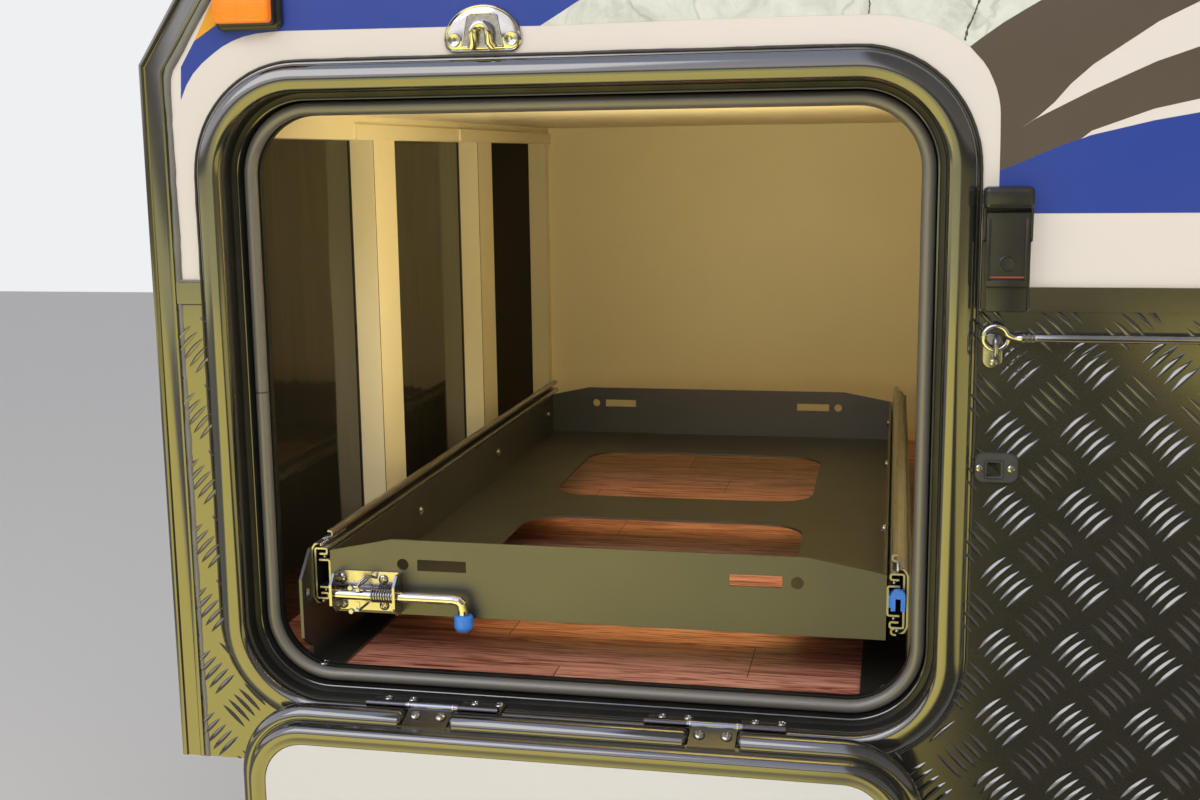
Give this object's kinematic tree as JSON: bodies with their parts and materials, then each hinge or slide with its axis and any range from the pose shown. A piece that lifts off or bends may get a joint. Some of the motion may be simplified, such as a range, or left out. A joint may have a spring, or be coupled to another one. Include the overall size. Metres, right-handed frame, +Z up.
{
  "type": "trailer storage locker with slide-out tray",
  "caption": "Front corner of a travel trailer body with a drop-down hatch and a locker whose tray runs out on telescopic slides.",
  "frame": {"origin": "underside of the floor bearers, at the centre of the chassis bolts, below the middle of the hatch", "axes": "+X along the wall away from the trailer's nose, +Y into the body, +Z up"},
  "size_m": [0.955, 1.311, 1.2185],
  "materials": {
    "white_panel": "gloss paint on composite panel",
    "cream_board": "satin cream lining",
    "floor_board": "timber-look vinyl on ply",
    "galvanised": "galvanised",
    "black_lining": "gloss black lining",
    "black_gloss": "gloss powder coat",
    "black_satin": "satin powder coat",
    "seal_rubber": "matt",
    "zinc": "zinc plated",
    "hinge_steel": "black with bright knuckles",
    "chrome": "polished",
    "black_plastic": "moulded",
    "amber": "moulded lens",
    "blue_plastic": "dipped"
  },
  "bodies": {
    "locker": {"wall_panel": "white_panel", "front_wall": "white_panel", "floor_panel": "floor_board", "ceiling_board": "cream_board", "back_board": "cream_board", "partition": "cream_board", "bearer_front": "galvanised", "bearer_middle": "galvanised", "bearer_rear": "galvanised", "bearer_end": "galvanised", "front_lining": "black_lining", "post_near": "cream_board", "post_middle": "cream_board", "post_far": "cream_board", "header_rail": "cream_board", "tread_plate": "black_gloss", "front_tread_plate": "black_gloss", "corner_moulding": "black_gloss", "waist_trim_front": "black_gloss", "waist_trim_rear": "black_gloss", "hatch_frame": "black_gloss", "door_seal": "seal_rubber", "slide_outer_left": "zinc", "slide_outer_right": "zinc", "slide_bracket_left": "black_satin", "slide_bracket_right": "black_satin", "hinge_frame_leaf_front": "hinge_steel", "hinge_frame_leaf_rear": "hinge_steel", "marker_lamp_base": "black_plastic", "marker_lamp_lens": "amber", "pad_eye": "chrome", "catch_body": "black_plastic", "hook_eye_plate": "chrome", "striker_plate": "black_plastic"},
    "hatch_door": {"door_frame": "black_gloss", "door_panel": "white_panel", "door_tread_plate": "black_gloss", "door_upper_skin": "white_panel", "door_waist_trim": "black_gloss", "hinge_door_leaf_front": "hinge_steel", "hinge_door_leaf_rear": "hinge_steel"},
    "tray": {"tray_pan": "black_satin", "slide_inner_left": "zinc", "slide_inner_right": "zinc", "lock_lever_right": "blue_plastic", "bolt_bracket": "zinc"},
    "slide_left": {"slide_middle_left": "zinc"},
    "slide_right": {"slide_middle_right": "zinc"},
    "bolt": {"bolt_rod": "chrome", "bolt_handle_cap": "blue_plastic"},
    "catch": {"catch_lever": "black_plastic"},
    "hook": {"cabin_hook": "chrome"}
  },
  "joints": [
    {"name": "hatch_hinge", "type": "hinge", "parent": "locker", "child": "hatch_door", "pos_m": [0, -0.646, 0.073], "axis": [1, 0, 0], "range_deg": [-180, 0]},
    {"name": "tray_slide", "type": "slide", "parent": "locker", "child": "tray", "axis": [0, -1, 0], "range_m": [0, 0.9]},
    {"name": "slide_left_run", "type": "slide", "parent": "locker", "child": "slide_left", "axis": [0, -1, 0], "range_m": [0, 0.45]},
    {"name": "slide_right_run", "type": "slide", "parent": "locker", "child": "slide_right", "axis": [0, -1, 0], "range_m": [0, 0.45]},
    {"name": "bolt_throw", "type": "slide", "parent": "tray", "child": "bolt", "axis": [1, 0, 0], "range_m": [-0.032, 0]},
    {"name": "catch_swing", "type": "hinge", "parent": "locker", "child": "catch", "pos_m": [0.362, -0.6395, 0.513], "axis": [-1, 0, 0], "range_deg": [0, 60], "stiffness_Nm_per_rad": 0.2},
    {"name": "hook_swing", "type": "hinge", "parent": "locker", "child": "hook", "pos_m": [0.355, -0.637, 0.4163], "axis": [0, 1, 0], "range_deg": [-20, 65]}
  ],
  "couplings": [
    {"joint": "slide_left_run", "follows": "tray_slide", "ratio": 0.5},
    {"joint": "slide_right_run", "follows": "tray_slide", "ratio": 0.5}
  ]
}
